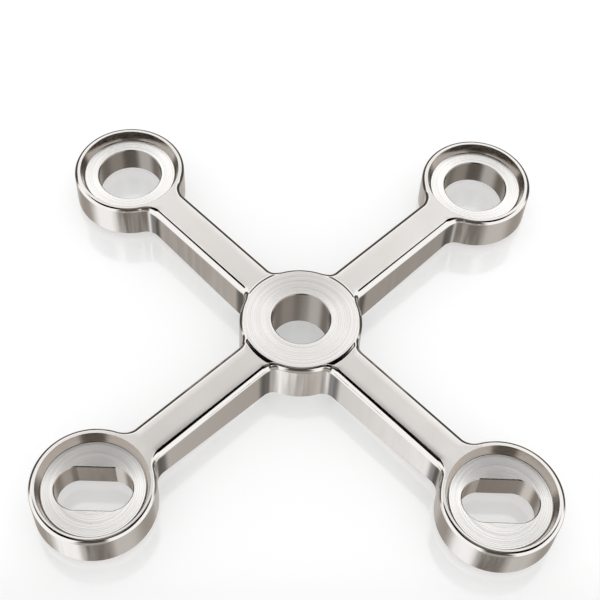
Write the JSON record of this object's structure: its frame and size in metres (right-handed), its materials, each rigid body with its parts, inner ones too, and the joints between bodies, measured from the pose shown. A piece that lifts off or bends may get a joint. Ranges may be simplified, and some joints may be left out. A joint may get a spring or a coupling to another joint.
{
  "type": "glass spider fitting",
  "caption": "X-shaped stainless steel spider that holds glass panes at their corners: a bored hub with straight arms to recessed rings, round-holed at the back and slotted at the front.",
  "frame": {"origin": "on the hub's axis, at its seat on the underside", "axes": "+Z along the hub's bore, out through the glass side; X along the slots; +Y towards the rings with round holes"},
  "size_m": [0.21, 0.21, 0.021],
  "materials": {
    "satin_steel": "machined and satin-polished stainless steel: turned faces with concentric marks, softly polished arms and bright rounded edges"
  },
  "bodies": {
    "root": {"spider": "satin_steel"}
  },
  "joints": []
}
